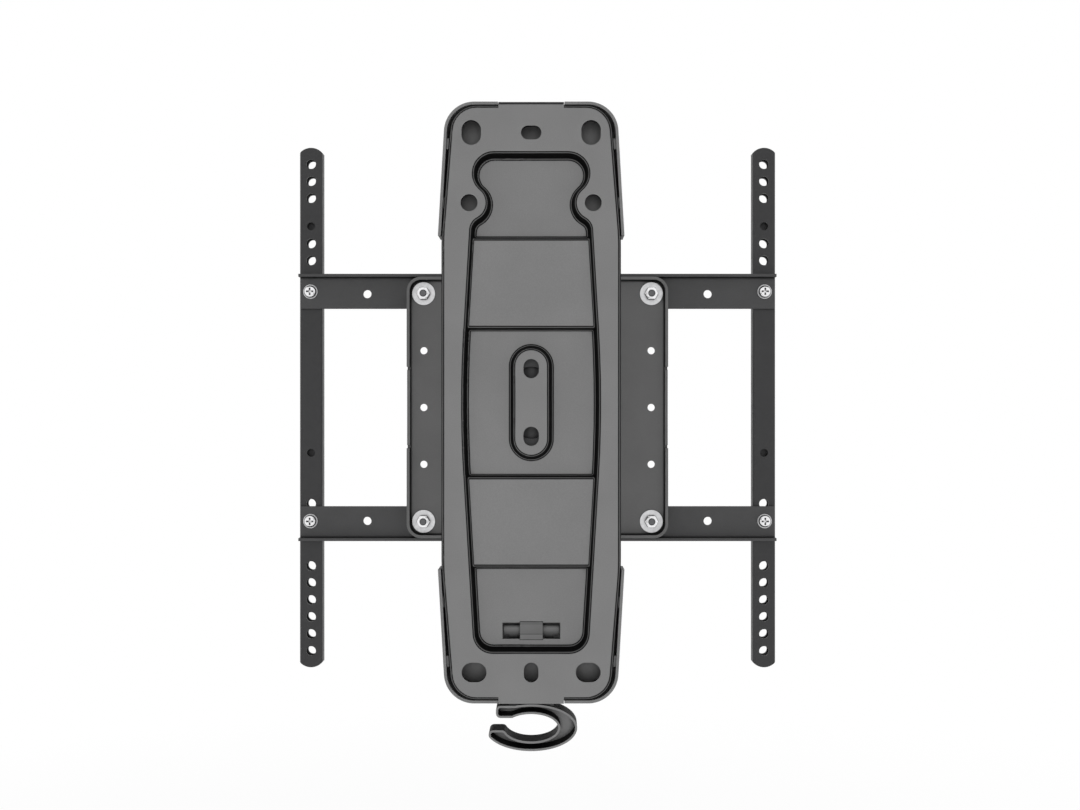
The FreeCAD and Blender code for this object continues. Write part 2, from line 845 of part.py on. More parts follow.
def cover_wire(inset, y, start):
    """The outline of an end cover, drawn in by inset: the plate's end down to the height start."""
    half = plate_half.value - inset
    top = plate_end.value - inset
    radius = size.plate_corner.value - inset
    side = plate_side.value
    corner_z = top - radius
    turn = math.atan(size.cover_end_inset.value / (corner_z - side))
    corner_x = half - (radius + math.sin(turn) * (corner_z - side)) / math.cos(turn)
    low_x = half - (start - side) * math.tan(turn)
    corner = arc_edge(corner_x, corner_z, radius, math.degrees(turn), 90, y)
    foot = line_edge(at_xz(0, y, start), at_xz(low_x, y, start))
    return mirrored_wire([foot] + chain([corner], at_xz(low_x, y, start), at_xz(0, y, top)))


def end_cover(end):
    """A plastic cap over one end of the wall plate: open to the wall, with four latches on its sides."""
    wall = size.cover_wall.value
    gap = size.cover_gap.value
    lift = size.cover_lift.value
    depth = size.cover_depth.value
    start = plate_side.value
    far = size.plate_height.value
    half = size.plate_width.value
    cover = extruded(cover_wire(-gap - wall, lift, start), depth - lift)
    front = [edge for edge in cover.Edges if edge.BoundBox.YMin > depth - 1e-6]
    cover = cover.makeFillet(size.cover_edge_round.value, front)
    inside = extruded(cover_wire(-gap, 0, start + wall), depth - wall)
    inner_front = [edge for edge in inside.Edges if edge.BoundBox.YMin > depth - wall - 1e-6]
    cover = cover.cut(inside.makeChamfer(size.cover_edge_round.value - wall, inner_front))
    tab = size.tab_width.value / 2 + gap
    cover = cover.cut(block(-tab, tab, 0, size.plate_flange.value + gap, (start + far / 2) / 2, far))
    bulge = panel_half.value + size.plate_sheet.value + gap
    level = size.panel_depth.value + size.plate_sheet.value + gap
    cover = cover.cut(block(-bulge, bulge, 0, level, start - 1, start + wall))
    plate_room = extruded(cover_wire(-gap, 0, start - 1), size.plate_flange.value + gap)
    cover = cover.cut(plate_room.common(block(-half, half, 0, depth, start - 1, start + wall)))
    shell = extruded(cover_wire(-gap - wall / 2, 0, start), depth)
    shell = shell.cut(extruded(cover_wire(size.latch_reach.value, 0, start - 1), depth))
    tall = size.latch_height.value / 2
    low_y = size.plate_sheet.value + size.plate_bend.value / 2 + size.slip_gap.value
    for level in latch_levels:
        low, high = level.value - tall, level.value + tall
        band = block(-half, half, low_y, size.plate_flange.value, low, high)
        cover = cover.fuse(shell.common(band))
    if end < 0:
        cover = cover.mirror(FreeCAD.Vector(), FreeCAD.Vector(0, 0, 1))
    return cover.removeSplitter()


def hook_loop(shrink, start, stop):
    """The C of the cable hook between two depths, with its walls drawn in by shrink."""
    along = FreeCAD.Vector(0, stop - start, 0)
    drop = hook_z.value
    flat = FreeCAD.Rotation(FreeCAD.Vector(1, 0, 0), 90)

    def oval(width, height):
        ellipse = Part.Ellipse(FreeCAD.Vector(), width / 2, height / 2)
        face = Part.Face(Part.Wire(ellipse.toShape()))
        face.Placement = FreeCAD.Placement(FreeCAD.Vector(0, start, drop), flat)
        return face.extrude(along)

    far = -size.hook_width.value
    arm_left = shrink - size.hook_arm_reach.value
    arm_top = drop + size.hook_arm_top.value - shrink
    mouth_low = drop + size.hook_mouth_rise.value - size.hook_mouth.value / 2 - shrink
    mouth_high = mouth_low + size.hook_mouth.value + 2 * shrink
    body = oval(size.hook_width.value - 2 * shrink, size.hook_height.value - 2 * shrink)
    body = body.fuse(block(arm_left, 0, start, stop, mouth_high, arm_top))
    body = body.cut(block(far, arm_left, start, stop, mouth_high, 0))
    body = body.cut(oval(size.hook_eye_width.value + 2 * shrink, size.hook_eye_height.value + 2 * shrink))
    body = body.cut(block(far, 0, start, stop, mouth_low, mouth_high)).removeSplitter()
    tips = []
    for edge in body.Edges:
        box = edge.BoundBox
        upright = box.XLength < 1e-6 and box.ZLength < 1e-6
        upper = abs(box.XMin - arm_left) < 1e-4
        lower = abs(box.ZMin - mouth_low) < 1e-4 and box.XMax < 0
        if upright and (upper or lower):
            tips.append(edge)
    return body.makeFillet(size.hook_tip_round.value - shrink, tips)


def cable_hook():
    """A moulded C for the cables on two legs that reach up behind the plate to a T foot in its window."""
    gap = size.slip_gap.value
    leg = size.hook_leg.value
    back = size.plate_sheet.value + gap
    out = size.panel_depth.value + size.plate_sheet.value + gap
    start = gap
    stop = start + size.hook_depth.value
    hook = hook_loop(0, start, stop)
    hook = hook.cut(hook_loop(size.hook_wall.value, start, stop - size.hook_floor.value))
    drop = window_z.value
    crown = drop + size.hook_foot_height.value / 2
    plate_low = -plate_tip.value
    bulge_low = -panel_end.value - size.plate_sheet.value
    rise = out - back
    spots = [
        (back, plate_low - leg),
        (back, bulge_low - rise),
        (out, bulge_low),
        (out, crown),
        (out + leg, crown),
        (out + leg, bulge_low - leg / 2),
        (back + leg, bulge_low - rise - leg / 2),
        (back + leg, plate_low - leg),
    ]
    wide = size.hook_leg_width.value
    for side in SIDES:
        left = side * size.hook_leg_spacing.value / 2 - wide / 2
        corners = [FreeCAD.Vector(left, y, z) for y, z in spots]
        strip = Part.Face(Part.makePolygon(corners + corners[:1]))
        hook = hook.fuse(strip.extrude(FreeCAD.Vector(wide, 0, 0)))
    foot = size.window_width.value / 2 - 2 * gap
    tall = size.hook_foot_height.value / 2
    hook = hook.fuse(block(-foot, foot, out, out + leg, drop - tall, drop + tall))
    notch = size.window_notch_width.value / 2 - gap
    high = size.window_notch_height.value / 2 - gap
    hook = hook.fuse(block(-notch, notch, size.panel_depth.value, out + leg, drop - high, drop + high))
    return hook.removeSplitter()


shaped("wall_plate", wall_plate())
shaped("top_cover", end_cover(1))
shaped("bottom_cover", end_cover(-1))
shaped("cable_hook", cable_hook())


# Pivots


def pivot_bracket():
    """A folded bracket on the drawn panel with two ears round the wall knuckle."""
    piece = Piece("pivot_bracket")
    web = piece.profile("XZ_Plane", bracket_back)
    web.rounded_box(size.bracket_width / 2, size.bracket_height / 2, size.bracket_corner)
    window = wall_ear - size.knuckle_radius - size.ear_sheet / 2
    web.upright_slot(0, -window, window, size.knuckle_radius)
    piece.add(web, size.ear_sheet)
    for low in (wall_ear, -wall_ear - size.ear_sheet):
        ear = piece.profile("XY_Plane", low)
        rounded_ear(ear, bracket_back, wall_pivot, size.ear_radius)
        piece.add(ear, size.ear_sheet)
    bore = piece.profile("XY_Plane", -wall_ear - size.ear_sheet)
    bore.circle(0, wall_pivot, bolt_hole)
    piece.cut(bore, (wall_ear + size.ear_sheet) * 2)


def rounded_ear(profile, back, centre, radius):
    """An ear outline from a straight root to a round end."""
    profile.loop(
        [
            (-radius, back),
            (radius, back),
            (radius, centre, (0, centre, 1)),
            (-radius, centre),
        ]
    )


def pivot_fasteners(label, centre, ear):
    """The bolt, nut, two washers and two flanged bushes of one upright pivot."""
    outside = ear + size.ear_sheet
    seat = outside + size.pivot_washer
    radius = size.pivot_bolt_radius
    nut_low = -seat - size.pivot_nut_height
    bolt_low = nut_low - size.bolt_end
    shank = bolt_shank(radius, seat - bolt_low, (0, centre, bolt_low))
    head = hexagon(size.pivot_bolt_flats, size.pivot_bolt_head, (0, centre, seat), "Z", 1)
    finish(fused(shank, head), f"{label}_bolt")
    nut = hexagon(size.pivot_bolt_flats, size.pivot_nut_height, (0, centre, nut_low), "Z", -1)
    thread = cylinder(radius + size.thread_gap, size.pivot_nut_height, (0, centre, nut_low))
    finish(cut_from(nut, thread), f"{label}_nut")
    washers = Piece(f"{label}_washers")
    for low in (outside, -seat):
        ring = washers.profile("XY_Plane", low)
        ring.circle(0, centre, size.pivot_washer_radius).circle(0, centre, bolt_hole)
        washers.add(ring, size.pivot_washer)


def pivot_bushes(label, centre, knuckle_height):
    half = knuckle_height / 2
    bore = size.pivot_bolt_radius + size.bush_gap
    sleeve = size.knuckle_bore - size.bush_gap
    bushes = Piece(f"{label}_bushes")
    for sleeve_low, flange_low in (
        (half - size.bush_length, half),
        (-half, -half - size.bush_flange),
    ):
        ring = bushes.profile("XY_Plane", sleeve_low)
        ring.circle(0, centre, sleeve).circle(0, centre, bore)
        bushes.add(ring, size.bush_length)
        flange = bushes.profile("XY_Plane", flange_low)
        flange.circle(0, centre, size.bush_flange_radius).circle(0, centre, bore)
        bushes.add(flange, size.bush_flange)


def knuckle(label, centre, height):
    """A plain steel barrel on one pivot."""
    piece = Piece(label)
    ring = piece.profile("XY_Plane", -height / 2)
    ring.circle(0, centre, size.knuckle_radius).circle(0, centre, size.knuckle_bore)
    piece.add(ring, height)


def arm_tube(label, start, stop, height, copes):
    """A box section arm tube, coped to the barrels that it is welded to."""
    piece = Piece(label)
    wide = size.arm_width / 2
    wall = size.arm_tube_wall
    tube = piece.profile("XZ_Plane", start)
    tube.rounded_box(wide, height / 2, size.arm_tube_round)
    tube.rounded_box(wide - wall, height / 2 - wall, size.arm_tube_round - wall)
    piece.add(tube, stop - start)
    for centre in copes:
        cope = piece.profile("XY_Plane", -height / 2)
        cope.circle(0, centre, size.knuckle_radius)
        piece.cut(cope, height)


def elbow_plates():
    """The two plates over and under the inner arm's end that hold the elbow pivot."""
    piece = Piece("elbow_plates")
    for low in (arm_ear, -arm_ear - size.ear_sheet):
        plate = piece.profile("XY_Plane", low)
        plate.upright_slot(
            0, elbow_pivot - size.elbow_plate_length, elbow_pivot, size.ear_radius
        )
        plate.circle(0, elbow_pivot, bolt_hole)
        piece.add(plate, size.ear_sheet)


pivot_bracket()
pivot_fasteners("wall_pivot", wall_pivot, wall_ear)
pivot_bushes("wall_pivot", wall_pivot, size.wall_knuckle_height)
knuckle("wall_knuckle", wall_pivot, size.wall_knuckle_height)
arm_tube("inner_arm_tube", wall_pivot, elbow_pivot - size.elbow_setback, arm_ear * 2, [wall_pivot])
elbow_plates()
pivot_fasteners("elbow", elbow_pivot, arm_ear)
pivot_bushes("elbow", elbow_pivot, size.arm_knuckle_height)
knuckle("elbow_knuckle", elbow_pivot, size.arm_knuckle_height)
arm_tube("outer_arm_tube", elbow_pivot, head_pivot, size.arm_knuckle_height, [elbow_pivot, head_pivot])
knuckle("head_knuckle", head_pivot, size.arm_knuckle_height)
pivot_bushes("head_pivot", head_pivot, size.arm_knuckle_height)
pivot_fasteners("head_pivot", head_pivot, arm_ear)


# Swivel yoke and tilt bracket


def lies_at(edge, y):
    """True for an edge in the plane at y."""
    box = edge.BoundBox
    return abs(box.YMin - y.value) < 1e-4 and abs(box.YMax - y.value) < 1e-4


def swivel_yoke():
    """A folded yoke: two level ears on the head pivot and two upright ears on the tilt bolt."""
    piece = Piece("swivel_yoke")
    half = size.yoke_width / 2
    outside = arm_ear + size.ear_sheet
    web = piece.profile("XZ_Plane", yoke_web)
    web.box(-half, half, -outside, outside)
    piece.add(web, size.ear_sheet)
    radius = size.ear_radius
    for low in (arm_ear, -outside):
        ear = piece.profile("XY_Plane", low)
        ear.loop(
            [
                (half, yoke_web),
                (-half, yoke_web),
                (-radius, head_pivot, (0, head_pivot, 1)),
                (radius, head_pivot),
            ]
        )
        piece.add(ear, size.ear_sheet)
    bore = piece.profile("XY_Plane", -outside)
    bore.circle(0, head_pivot, bolt_hole)
    piece.cut(bore, outside * 2)
    for low in (half - size.ear_sheet, -half):
        ear = piece.profile("YZ_Plane", low)
        tilt_ear(ear, yoke_web + size.ear_sheet, size.tilt_ear_radius)
        piece.add(ear, size.ear_sheet)
    web_front = yoke_web + size.ear_sheet
    wide = size.yoke_width.value / 2
    piece.round(size.ear_bend, lambda edge: lies_at(edge, web_front) and edge.BoundBox.XLength > wide)
    tilt_bore = piece.profile("YZ_Plane", -half)
    tilt_bore.circle(tilt_axis, 0, size.tilt_bolt_radius + size.bush_gap)
    piece.cut(tilt_bore, size.yoke_width)


def tilt_ear(profile, root, root_half):
    """An upright ear that ends round the tilt axis."""
    radius = size.tilt_ear_radius
    turn = 1 if root.value < tilt_axis.value else -1
    profile.loop(
        [
            (root, -root_half),
            (tilt_axis, -radius, (tilt_axis, 0, turn)),
            (tilt_axis, radius),
            (root, root_half),
        ]
    )


tilt_inside = size.yoke_width / 2 + size.tilt_gap
tilt_outside = tilt_inside + size.ear_sheet


def tilt_bracket():
    """A folded channel on the head plate whose sides hold the tilt bolt."""
    piece = Piece("tilt_bracket")
    half_height = size.tilt_base_height / 2
    base_back = head_face - size.ear_sheet
    base = piece.profile("XZ_Plane", base_back)
    base.box(-tilt_outside, tilt_outside, -half_height, half_height)
    piece.add(base, size.ear_sheet)
    for low in (tilt_inside, -tilt_outside):
        ear = piece.profile("YZ_Plane", low)
        tilt_ear(ear, base_back, half_height)
        piece.add(ear, size.ear_sheet)
    tall = half_height.value
    piece.round(size.ear_bend, lambda edge: lies_at(edge, head_face) and edge.BoundBox.ZLength > tall)
    bore = piece.profile("YZ_Plane", -tilt_outside)
    bore.circle(tilt_axis, 0, size.tilt_bolt_radius + size.bolt_play)
    piece.cut(bore, tilt_outside * 2)


def tilt_fasteners():
    """The tilt bolt, its nut and washers, and the two friction discs between the ears."""
    radius = size.tilt_bolt_radius
    seat = tilt_outside + size.tilt_washer
    nut_low = -seat - size.tilt_nut_height
    bolt_low = nut_low - size.bolt_end
    shank = bolt_shank(radius, seat - bolt_low, (bolt_low, tilt_axis, 0), "X")
    head = hexagon(size.tilt_bolt_flats, size.tilt_bolt_head, (seat, tilt_axis, 0), "X", 1)
    finish(fused(shank, head), "tilt_bolt")
    nut = hexagon(size.tilt_bolt_flats, size.tilt_nut_height, (nut_low, tilt_axis, 0), "X", -1)
    thread = cylinder(radius + size.thread_gap, size.tilt_nut_height, (nut_low, tilt_axis, 0), "X")
    finish(cut_from(nut, thread), "tilt_nut")
    hole = radius + size.bolt_play
    washers = Piece("tilt_washers")
    for low in (tilt_outside, -seat):
        ring = washers.profile("YZ_Plane", low)
        ring.circle(tilt_axis, 0, size.tilt_washer_radius).circle(tilt_axis, 0, hole)
        washers.add(ring, size.tilt_washer)
    discs = Piece("tilt_friction_discs")
    edge = size.yoke_width / 2
    for low in (edge, -edge - size.tilt_disc):
        ring = discs.profile("YZ_Plane", low)
        ring.circle(tilt_axis, 0, size.tilt_ear_radius).circle(tilt_axis, 0, radius + size.bush_gap)
        discs.add(ring, size.tilt_disc)


swivel_yoke()
tilt_bracket()
tilt_fasteners()


# Head


def head_plate():
    """A square folded tray with its rim towards the wall. The rim is lower at the middle of both sides."""
    piece = Piece("head_plate")
    sheet_depth = size.head_sheet
    outer = piece.profile("XZ_Plane", head_back)
    outer.rounded_box(head_half, head_half, size.head_corner)
    piece.add(outer, size.head_flange)
    inner = piece.profile("XZ_Plane", head_back)
    inside = head_half - sheet_depth
    inner.rounded_box(inside, inside, size.head_corner - sheet_depth)
    piece.cut(inner, size.head_flange - sheet_depth)
    piece.round(size.head_bend + sheet_depth, lambda edge: lies_at(edge, head_front))
    piece.round(size.head_bend, lambda edge: lies_at(edge, head_face))
    relief = size.head_relief_height / 2
    notch = relief + size.head_notch
    for low, high, depth in (
        (-relief, relief, size.head_relief),
        (relief, notch, size.head_notch_depth),
        (-notch, -relief, size.head_notch_depth),
    ):
        for left, right in ((inside - 1, head_half + 1), (-head_half - 1, -inside + 1)):
            cut = piece.profile("XZ_Plane", head_back)
            cut.box(left, right, low, high)
            piece.cut(cut, depth)
    holes = piece.profile("XZ_Plane", head_face)
    for side_x, side_z in CORNERS:
        holes.circle(vesa_half * side_x, vesa_half * side_z, plate_bolt_hole)
        holes.circle(vesa_half * side_x, size.vesa_small / 2 * side_z, size.vesa_hole / 2)
    for side in SIDES:
        holes.circle(vesa_half * side, 0, size.vesa_hole / 2)
    piece.cut(holes, sheet_depth)


def bar(label, side, screw_height):
    """A folded angle across the head whose rim hugs the head plate."""
    piece = Piece(label)
    low = bar_top - size.bar_face
    rim = bar_top - size.bar_sheet
    back = bar_front - size.bar_flange
    inner = size.bar_bend
    outer = inner + size.bar_sheet
    bend_y = head_front - inner
    bend_z = rim - inner
    section = piece.profile("YZ_Plane", -bar_half)
    section.loop(
        [
            (head_front, low * side),
            (bar_front, low * side),
            (bar_front, bend_z * side, (bend_y, bend_z * side, side)),
            (bend_y, (bend_z + outer) * side),
            (back, (bend_z + outer) * side),
            (back, rim * side),
            (bend_y, rim * side, (bend_y, bend_z * side, -side)),
            (head_front, bend_z * side),
        ]
    )
    piece.add(section, bar_half * 2)
    holes = piece.profile("XZ_Plane", head_front)
    for way in SIDES:
        holes.circle(vesa_half * way, vesa_half * side, plate_bolt_hole)
        holes.circle(size.bar_hole_spacing / 2 * way, vesa_half * side, size.bar_hole / 2)
        holes.circle(rail_x * way, screw_height * side, rail_screw_hole)
    piece.cut(holes, size.bar_sheet)


def rail(label, side):
    """An upright box rail with round ends and a row of screw holes for the television."""
    piece = Piece(label)
    middle = rail_x * side
    half = size.rail_width / 2
    tip = size.rail_length / 2
    shoulder = tip - size.rail_end_rise
    rise = size.rail_end_rise.value
    radius = (half.value ** 2 + rise ** 2) / (2 * rise)
    end_arc = size.rail_length / 2 - radius
    outline = piece.profile("XZ_Plane", bar_front)
    outline.loop(
        [
            (middle - half, -shoulder, (middle, -end_arc, 1)),
            (middle + half, -shoulder),
            (middle + half, shoulder, (middle, end_arc, 1)),
            (middle - half, shoulder),
        ]
    )
    piece.add(outline, size.rail_depth)
    piece.round(size.rail_round, lambda edge: edge.BoundBox.ZLength > tip.value)
    wall = size.rail_wall
    hollow = piece.profile("XY_Plane", -tip)
    hollow.box(middle - half + wall, middle + half - wall, bar_front + wall, rail_front - wall)
    piece.cut(hollow, size.rail_length)
    holes = piece.profile("XZ_Plane", bar_front)
    pitch = size.rail_pitch
    top = tip - size.rail_end_margin
    dark_upper = vesa_half + size.rail_dark_upper
    upper = [top - pitch * step for step in (0, 1, 2)]
    inner = [dark_upper - pitch * step for step in (1, 2)]
    lower = [-top + pitch * step for step in range(6)]
    single = [-size.rail_dark_lower - pitch * 3]
    for level in upper + inner + lower + single:
        holes.circle(middle, level, size.rail_hole / 2)
    piece.cut(holes, size.rail_depth)
    blind = piece.profile("XZ_Plane", bar_front)
    blind.circle(middle, dark_upper, size.rail_dark_hole / 2)
    blind.circle(middle, -size.rail_dark_lower, size.rail_dark_hole / 2)
    blind.circle(middle, rail_screw_upper, size.rail_screw_radius + size.thread_gap)
    blind.circle(middle, -rail_screw_lower, size.rail_screw_radius + size.thread_gap)
    piece.cut(blind, wall)


def head_bolts():
    """The four bolts, washers and nuts that hold the bars to the head plate."""
    spots = [(vesa_half * side_x, vesa_half * side_z) for side_x, side_z in CORNERS]
    washer_back = head_face - size.plate_washer
    nut_back = washer_back - size.plate_nut_height
    bolt_back = nut_back - size.plate_bolt_end
    bolts = Piece("plate_bolts")
    washers = Piece("plate_washers")
    shank = bolts.profile("XZ_Plane", bolt_back)
    head = bolts.profile("XZ_Plane", bar_front)
    ring = washers.profile("XZ_Plane", washer_back)
    nuts = []
    for x, z in spots:
        shank.circle(x, z, size.plate_bolt_radius)
        head.circle(x, z, size.plate_bolt_head_radius)
        ring.circle(x, z, size.plate_washer_radius).circle(x, z, plate_bolt_hole)
        nut = hexagon(size.plate_nut_flats, size.plate_nut_height, (x, nut_back, z), "Y", -1)
        thread = size.plate_bolt_radius + size.thread_gap
        nuts.append(cut_from(nut, cylinder(thread, size.plate_nut_height, (x, nut_back, z), "Y")))
    bolts.add(shank, bar_front - bolt_back).add(head, size.plate_bolt_head)
    bolts.round(size.plate_bolt_head_round, lambda edge: lies_at(edge, bar_front + size.plate_bolt_head))
    bolts.bevel(size.plate_bolt_chamfer, lambda edge: lies_at(edge, bolt_back))
    washers.add(ring, size.plate_washer)
    finish(grouped(*nuts), "plate_nuts")


def rail_screws():
    """The four cross-head screws and washers that hold the rails to the bars."""
    spots = []
    for way in SIDES:
        spots.append((rail_x * way, rail_screw_upper))
        spots.append((rail_x * way, -rail_screw_lower))
    washer_back = head_front - size.rail_screw_washer
    head_low = washer_back - size.rail_screw_head
    screws = Piece("rail_screws")
    washers = Piece("rail_screw_washers")
    shank = screws.profile("XZ_Plane", washer_back)
    head = screws.profile("XZ_Plane", head_low)
    ring = washers.profile("XZ_Plane", washer_back)
    cross = screws.profile("XZ_Plane", head_low)
    for x, z in spots:
        shank.circle(x, z, size.rail_screw_radius)
        head.circle(x, z, size.rail_screw_head_radius)
        cross.cross(x, z, size.rail_screw_cross_arm, size.rail_screw_cross)
        ring.circle(x, z, size.rail_screw_washer_radius).circle(x, z, rail_screw_hole)
    screws.add(head, size.rail_screw_head).add(shank, size.rail_screw_length)
    screws.round(size.rail_screw_head_round, lambda edge: lies_at(edge, head_low))
    screws.cut(cross, size.rail_screw_cross_depth)
    washers.add(ring, size.rail_screw_washer)


head_plate()
bar("upper_bar", 1, rail_screw_upper)
bar("lower_bar", -1, rail_screw_lower)
rail("left_rail", -1)
rail("right_rail", 1)
head_bolts()
rail_screws()


doc.recompute()
for thing in doc.Objects:
    if "Invalid" in thing.State or "Error" in thing.State:
        raise RuntimeError(f"{thing.Label} did not build: {thing.State}")
for thing in pieces:
    if thing.Shape.isNull() or not thing.Shape.isValid():
        raise RuntimeError(f"{thing.Label} has no valid shape")

os.makedirs("parts", exist_ok=True)
for thing in pieces:
    thing.Shape.exportStep(f"parts/{thing.Label}.step")
    print(thing.Label, len(thing.Shape.Solids), round(thing.Shape.Volume, 1))
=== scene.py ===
"""Looks of a full-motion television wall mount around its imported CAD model, in metres."""
import json
import math

import bpy
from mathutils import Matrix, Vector


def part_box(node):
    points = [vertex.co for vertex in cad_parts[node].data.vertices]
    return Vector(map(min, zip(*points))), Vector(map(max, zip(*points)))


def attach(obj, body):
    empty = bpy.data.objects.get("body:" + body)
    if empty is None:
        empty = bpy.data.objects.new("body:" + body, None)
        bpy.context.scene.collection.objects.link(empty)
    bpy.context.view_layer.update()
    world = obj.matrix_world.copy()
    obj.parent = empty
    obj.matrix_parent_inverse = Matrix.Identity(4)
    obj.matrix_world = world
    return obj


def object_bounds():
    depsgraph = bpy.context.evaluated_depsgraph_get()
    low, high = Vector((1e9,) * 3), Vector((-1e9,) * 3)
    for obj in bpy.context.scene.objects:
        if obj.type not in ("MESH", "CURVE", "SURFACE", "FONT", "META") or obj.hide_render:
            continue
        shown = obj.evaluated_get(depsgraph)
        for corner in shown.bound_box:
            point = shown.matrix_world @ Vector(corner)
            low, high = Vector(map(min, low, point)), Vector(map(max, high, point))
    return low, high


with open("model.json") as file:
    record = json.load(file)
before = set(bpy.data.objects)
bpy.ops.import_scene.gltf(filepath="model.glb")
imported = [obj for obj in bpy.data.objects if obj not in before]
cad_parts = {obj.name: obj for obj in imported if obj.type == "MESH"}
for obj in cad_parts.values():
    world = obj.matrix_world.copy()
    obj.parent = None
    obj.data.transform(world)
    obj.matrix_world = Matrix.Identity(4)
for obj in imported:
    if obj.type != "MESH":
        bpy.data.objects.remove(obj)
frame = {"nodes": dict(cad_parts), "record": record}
cad_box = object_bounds()

# Photograph: its frame in pixels, and where the camera stood
PHOTO_WIDTH = 1080
PHOTO_HEIGHT = 810
FIELD_OF_VIEW = math.radians(45)
CAMERA_PLACE = (0.00958, -0.7243, -0.00756)
OPTICAL_CENTRE = (548.4, 416.1)
SENSOR_WIDTH = 36.0

# Floor: well under the part, shaded near it and plain white further out
FLOOR_DROP = 0.25
FLOOR_SIZE = 12.0
FLOOR_MIDDLE = 0.2
FLOOR_SHADE_REACH = 0.45
FLOOR_WHITE_REACH = 1.2
FLOOR_GLOW = 0.88
FLOOR_GREY = 0.86

# Light: the grey fill from all sides, and the point that the lamps look at
WORLD_FILL = 0.2
LAMP_TARGET = (0.0, 0.15, 0.0)

# Edges of the CAD meshes
EDGE_ROUND = 0.0003
SMOOTH_ANGLE = math.radians(32)
MERGE_REACH = 1e-6
NORMAL_WEIGHT = 100

# Painted crease shade: how near another face has to be to paint shade onto one
CREASE_SHADE_REACH = 0.005
COVER_CREASE_SHADE_REACH = 0.03
STEEL_CREASE_SHADE_REACH = 0.002
CREASE_SHADE_SAMPLES = 8

# Painted shade of formed pieces, with painted highlight lines in the bends: pairs of flatness, 0 on a face
# square to the wall and 1 along it, and tone
BEND_SHADE_TONES = (
    (0.0, 0.0),
    (0.5, 0.0),
    (0.7, 0.4),
    (0.85, 0.4),
    (0.95, 0.1),
    (0.975, 0.45),
    (0.995, 1.0),
)
PRESS_SHADE_TONES = (
    (0.0, 0.0),
    (0.64, 0.0),
    (0.75, 0.52),
    (0.84, 0.52),
    (0.91, 0.02),
    (0.985, 0.06),
    (0.9985, 1.0),
)
SIDE_SHADE_TONES = ((0.0, 0.0), (0.6, 0.0), (0.8, 1.0))

# Gloss of all finishes, and the darkest painted shade that the form of a piece gives plastic and steel
GLOSS = 0.35
PLASTIC_SHADE_FLOOR = 0.08
STEEL_SHADE_FLOOR = 0.1

# The plate's side flanges: where they start, across and in depth, and the tone that they keep under the
# painted shade
PANEL_REACH = 0.038
FLANGE_REACH = 0.041
BEND_REACH = 0.004
FLANGE_START = 0.007
FLANGE_TONE = 0.75

# The hook's foot in the plate's window: its middle tongue, its height and its painted bands of shade,
# upwards
FOOT_TONGUE = 0.0067
FOOT_BLEND = 0.0002
FOOT_LOW = -0.1333
FOOT_HIGH = -0.1243
FOOT_SIDE_SHADE_TONES = (
    (0.0, 0.0),
    (0.16, 0.04),
    (0.32, 0.3),
    (0.45, 0.45),
    (0.52, 0.6),
    (0.7, 0.75),
    (0.8, 0.4),
    (0.93, 0.3),
    (1.0, 0.05),
)
FOOT_TONGUE_SHADE_TONES = ((0.0, 0.75), (0.31, 0.8), (0.36, 0.35), (0.41, 0.65), (0.9, 0.75), (1.0, 0.6))

# The hook's ring, all of it under this height
RING_TOP = -0.15
RING_BLEND = 0.001

# Weld beads along the arm tubes' ends
WELD_RADIUS = 0.0016
WELD_PITCH = 0.0016
WELD_SINK = 0.0003
WELD_SIDES = 12
WELD_RIPPLE = 0.18
WELD_END = 0.3
RINGS_A_RIPPLE = 6
TUBE_ROUND = 0.003


def socket(node, name, value):
    """Sets one input of a node."""
    node.inputs[name].default_value = value


def new_material(name):
    """A new node material, its tree and its Principled shader."""
    material = bpy.data.materials.new(name)
    material.use_nodes = True
    tree = material.node_tree
    return material, tree, tree.nodes["Principled BSDF"]


def noise(tree, scale, detail=3.0, stretch=(1.0, 1.0, 1.0)):
    """Noise in the part's own coordinates, with scale in ripples a metre."""
    place = tree.nodes.new("ShaderNodeTexCoord")
    mapping = tree.nodes.new("ShaderNodeMapping")
    socket(mapping, "Scale", stretch)
    texture = tree.nodes.new("ShaderNodeTexNoise")
    socket(texture, "Scale", scale)
    socket(texture, "Detail", detail)
    tree.links.new(place.outputs["Object"], mapping.inputs["Vector"])
    tree.links.new(mapping.outputs["Vector"], texture.inputs["Vector"])
    return texture.outputs["Fac"]


def ramp(tree, source, low, high, start=0.3, end=0.7):
    """Colours from low to high along a noise."""
    node = tree.nodes.new("ShaderNodeValToRGB")
    node.color_ramp.elements[0].position = start
    node.color_ramp.elements[0].color = (*low, 1.0)
    node.color_ramp.elements[1].position = end
    node.color_ramp.elements[1].color = (*high, 1.0)
    tree.links.new(source, node.inputs["Fac"])
    return node.outputs["Color"]


def spread(tree, source, low, high, start=0.3, end=0.7):
    """A number between start and end brought into the range from low to high."""
    node = tree.nodes.new("ShaderNodeMapRange")
    socket(node, "From Min", start)
    socket(node, "From Max", end)
    socket(node, "To Min", low)
    socket(node, "To Max", high)
    tree.links.new(source, node.inputs["Value"])
    return node.outputs["Result"]


def scaled(tree, colour, factor):
    """A colour times a number."""
    node = tree.nodes.new("ShaderNodeVectorMath")
    node.operation = "SCALE"
    tree.links.new(colour, node.inputs["Vector"])
    tree.links.new(factor, node.inputs["Scale"])
    return node.outputs["Vector"]


def painted_crease_shade(tree, colour, depth, reach=CREASE_SHADE_REACH, start=0.3, end=0.75):
    """Paints shade into a colour in the narrow gaps and creases where little light gets in."""
    hidden = tree.nodes.new("ShaderNodeAmbientOcclusion")
    hidden.samples = CREASE_SHADE_SAMPLES
    socket(hidden, "Distance", reach)
    return scaled(tree, colour, spread(tree, hidden.outputs["AO"], depth, 1.0, start, end))


def maths(tree, operation, *numbers):
    """The result of an operation on one or two numbers."""
    node = tree.nodes.new("ShaderNodeMath")
    node.operation = operation
    for number, entry in zip(numbers, node.inputs):
        tree.links.new(number, entry)
    return node.outputs["Value"]


